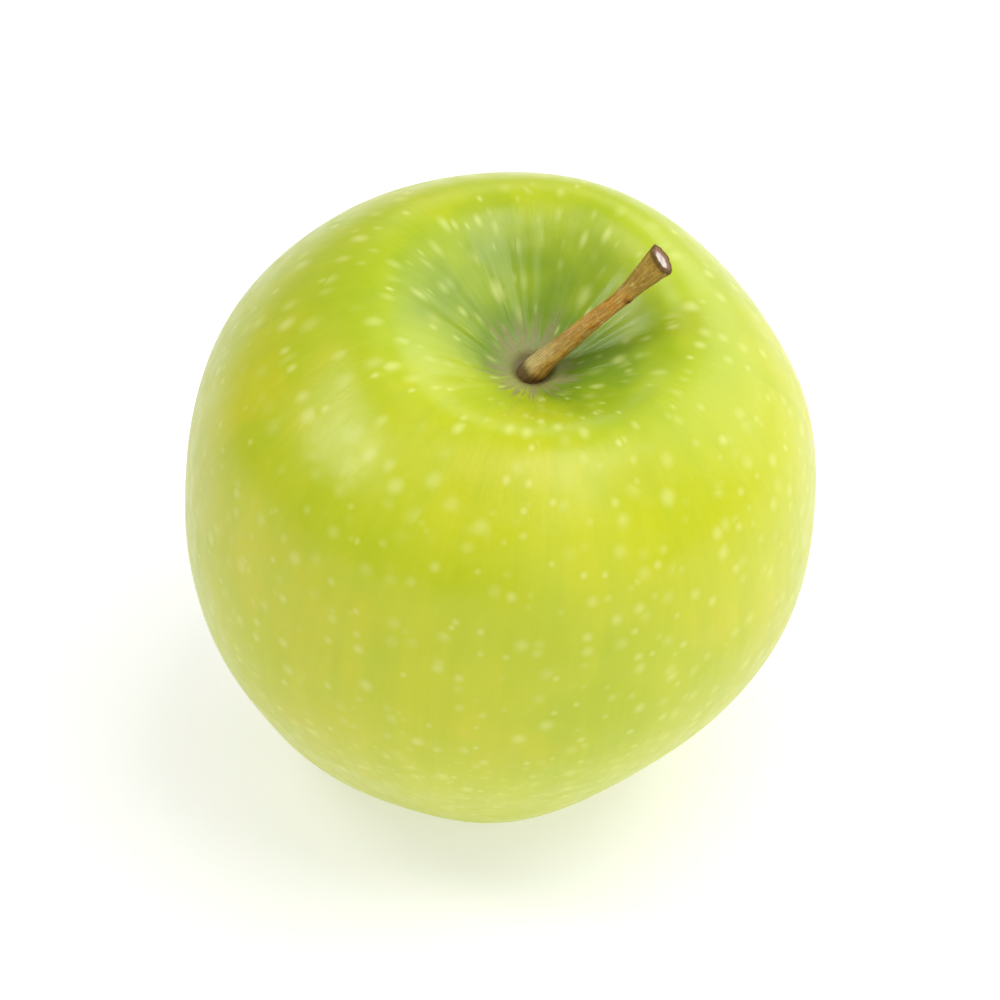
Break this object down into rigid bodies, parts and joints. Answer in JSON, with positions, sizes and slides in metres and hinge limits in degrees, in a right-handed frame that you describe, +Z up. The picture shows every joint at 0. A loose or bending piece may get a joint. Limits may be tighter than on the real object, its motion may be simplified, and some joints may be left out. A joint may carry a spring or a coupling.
{
  "type": "green apple",
  "caption": "Fresh green apple as picked: round lobed fruit with a stem cavity on top, a slim woody stem leaning out of it and a dried calyx in the basin under it.",
  "frame": {"origin": "on the surface that the apple stands on, under the middle of the fruit's widest ring", "axes": "+Z up along the standing fruit, -Y towards the picture's viewer, +X to the viewer's right, where the stem leans"},
  "size_m": [0.0772, 0.0768, 0.0766],
  "materials": {
    "skin": "waxy yellow-green apple skin with pale dots, satin",
    "bark": "dry brown bark, matte",
    "dry_sepal": "dried brown-green leaf tissue, matte"
  },
  "bodies": {
    "root": {"fruit": "skin", "stem": "bark", "calyx": "dry_sepal"}
  },
  "joints": []
}
